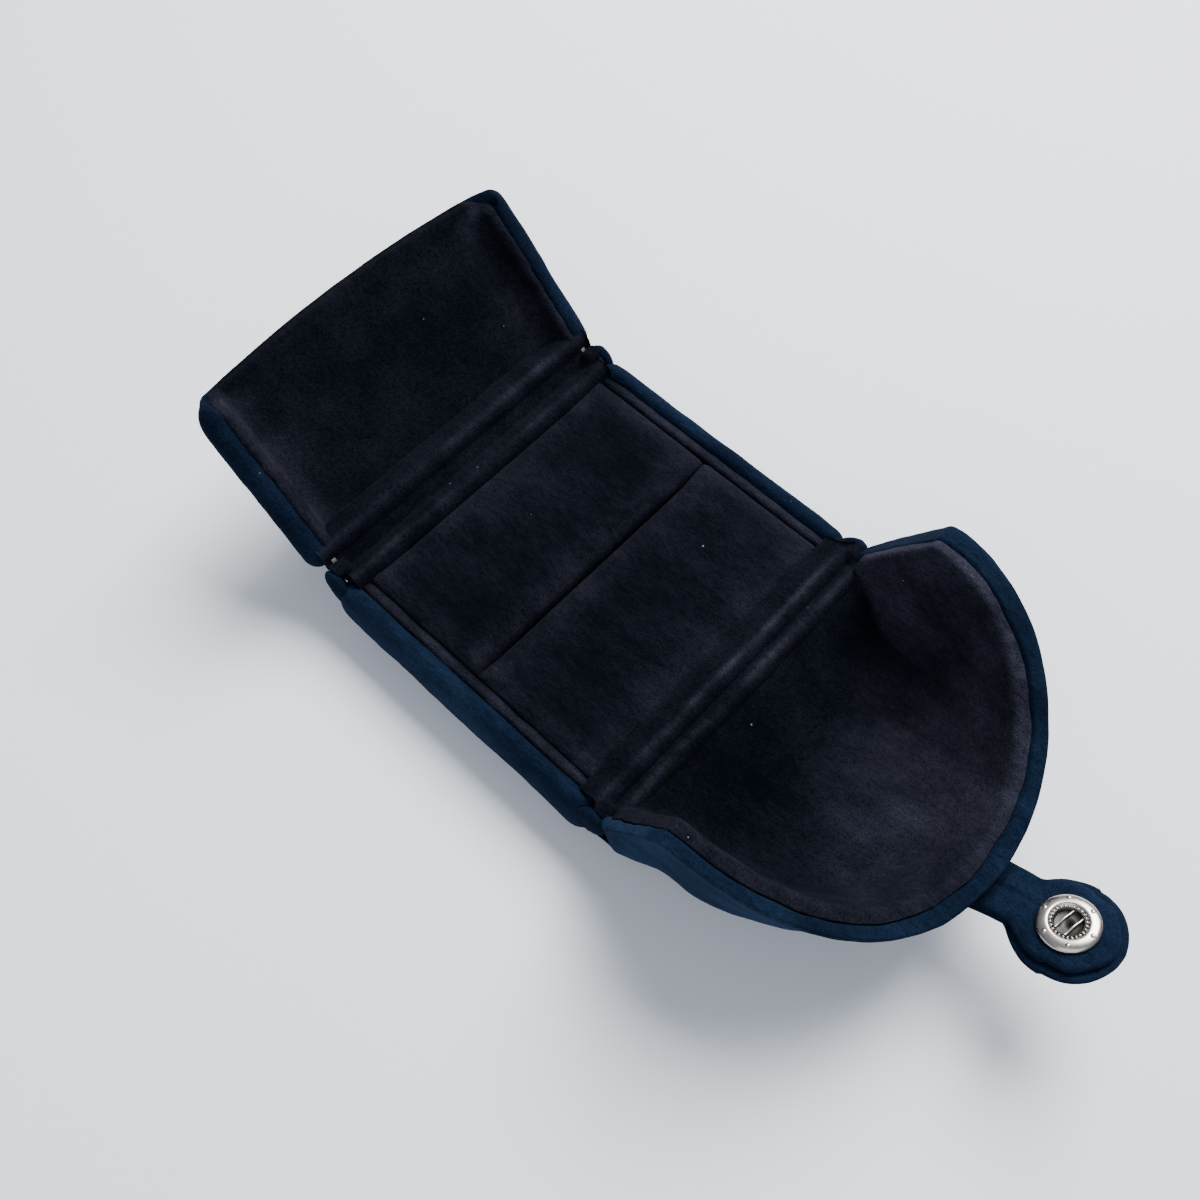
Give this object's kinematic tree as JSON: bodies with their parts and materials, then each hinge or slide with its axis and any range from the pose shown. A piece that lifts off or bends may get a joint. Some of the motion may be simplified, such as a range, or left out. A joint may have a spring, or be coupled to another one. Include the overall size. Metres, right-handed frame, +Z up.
{
  "type": "jewelry gift box",
  "caption": "Open velvet jewelry box: shallow lined tray with a slotted pad, a hinged lid, a scoop-shaped hinged flap and a strap with a ring snap that holds it closed.",
  "frame": {"origin": "centre of the tray's flat underside, midway between its sides, on the surface that the box stands on", "axes": "+Z up out of the tray, +Y from the tray towards the lid's hinge, +X along both hinges"},
  "size_m": [0.073, 0.1695, 0.0398],
  "materials": {
    "navy_velvet": "short-pile velvet with a blue sheen",
    "lining_velvet": "black plush velvet with a grey-violet nap",
    "steel": "satin",
    "nickel": "polished nickel plate",
    "card": "raw grey pulp board"
  },
  "bodies": {
    "base": {"base_outer_cover": "navy_velvet", "base_frame": "steel", "base_board": "card", "pad_rear": "lining_velvet", "pad_front": "lining_velvet", "base_lining_left": "lining_velvet", "base_lining_right": "lining_velvet", "base_lining_rear": "lining_velvet", "base_lining_front": "lining_velvet", "rear_hinge_pin_left": "steel", "rear_hinge_pin_right": "steel", "front_hinge_pin_left": "steel", "front_hinge_pin_right": "steel"},
    "lid": {"lid_outer_cover": "navy_velvet", "lid_frame": "steel", "lid_side_strip_left": "steel", "lid_side_strip_right": "steel", "lid_board": "card", "lid_lining_panel": "lining_velvet", "lid_lining_left": "lining_velvet", "lid_lining_right": "lining_velvet", "lid_lining_rear": "lining_velvet", "snap_stud": "nickel", "stud_rivet": "nickel"},
    "flap": {"flap_frame": "steel", "flap_lining_ridge": "lining_velvet", "flap_lining": "lining_velvet", "flap_board": "card", "flap_outer_cover": "navy_velvet"},
    "nose": {"nose_lining": "lining_velvet", "nose_board": "card", "nose_outer_cover": "navy_velvet", "strap_anchor": "navy_velvet"},
    "strap": {"strap_lower_layer": "navy_velvet", "strap_upper_layer": "navy_velvet", "snap_socket": "nickel", "snap_spring_wire": "steel", "snap_cap": "nickel"}
  },
  "joints": [
    {"name": "lid_hinge", "type": "hinge", "parent": "base", "child": "lid", "pos_m": [0, 0.032, 0.014], "axis": [1, 0, 0], "range_deg": [0, 134.4]},
    {"name": "flap_hinge", "type": "hinge", "parent": "base", "child": "flap", "pos_m": [0, -0.0333, 0.0144], "axis": [-1, 0, 0], "range_deg": [0, 120]},
    {"name": "nose_fold", "type": "hinge", "parent": "flap", "child": "nose", "pos_m": [0, -0.0505, 0.004], "axis": [-1, 0, 0], "range_deg": [0, 44.5]},
    {"name": "strap_bend", "type": "hinge", "parent": "nose", "child": "strap", "pos_m": [0, -0.0842, 0.012], "axis": [-1, 0, 0], "range_deg": [-45, 0]}
  ],
  "couplings": [
    {"joint": "nose_fold", "follows": "flap_hinge", "ratio": 0.36667}
  ]
}
